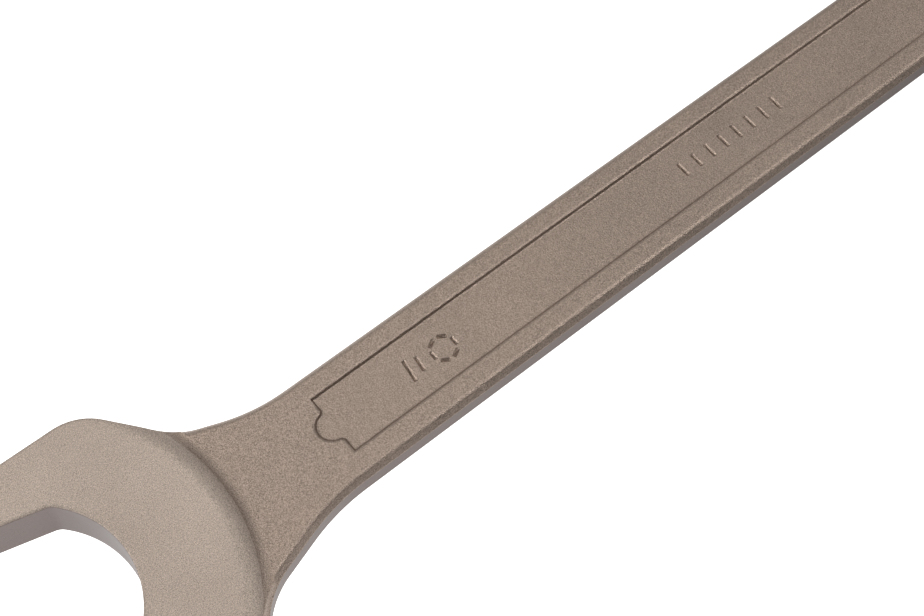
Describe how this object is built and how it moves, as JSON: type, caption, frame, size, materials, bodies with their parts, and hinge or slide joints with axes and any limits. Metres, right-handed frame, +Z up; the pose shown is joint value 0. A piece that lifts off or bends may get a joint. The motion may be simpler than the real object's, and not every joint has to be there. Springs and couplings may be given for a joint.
{
  "type": "combination wrench",
  "caption": "Drop-forged combination wrench with an angled open end, a flat shank with recessed panels, and a cranked twelve-point ring end.",
  "frame": {"origin": "centre of the bounding box's footprint, at the height of the face it lies on", "axes": "+X from the open end to the ring end, +Z up through the thickness, lying flat with the ring cranked upwards"},
  "size_m": [0.4318, 0.081, 0.0349],
  "materials": {
    "forged_steel": "satin, blasted forging skin with ground pad faces"
  },
  "bodies": {
    "root": {"wrench_forging": "forged_steel"}
  },
  "joints": []
}
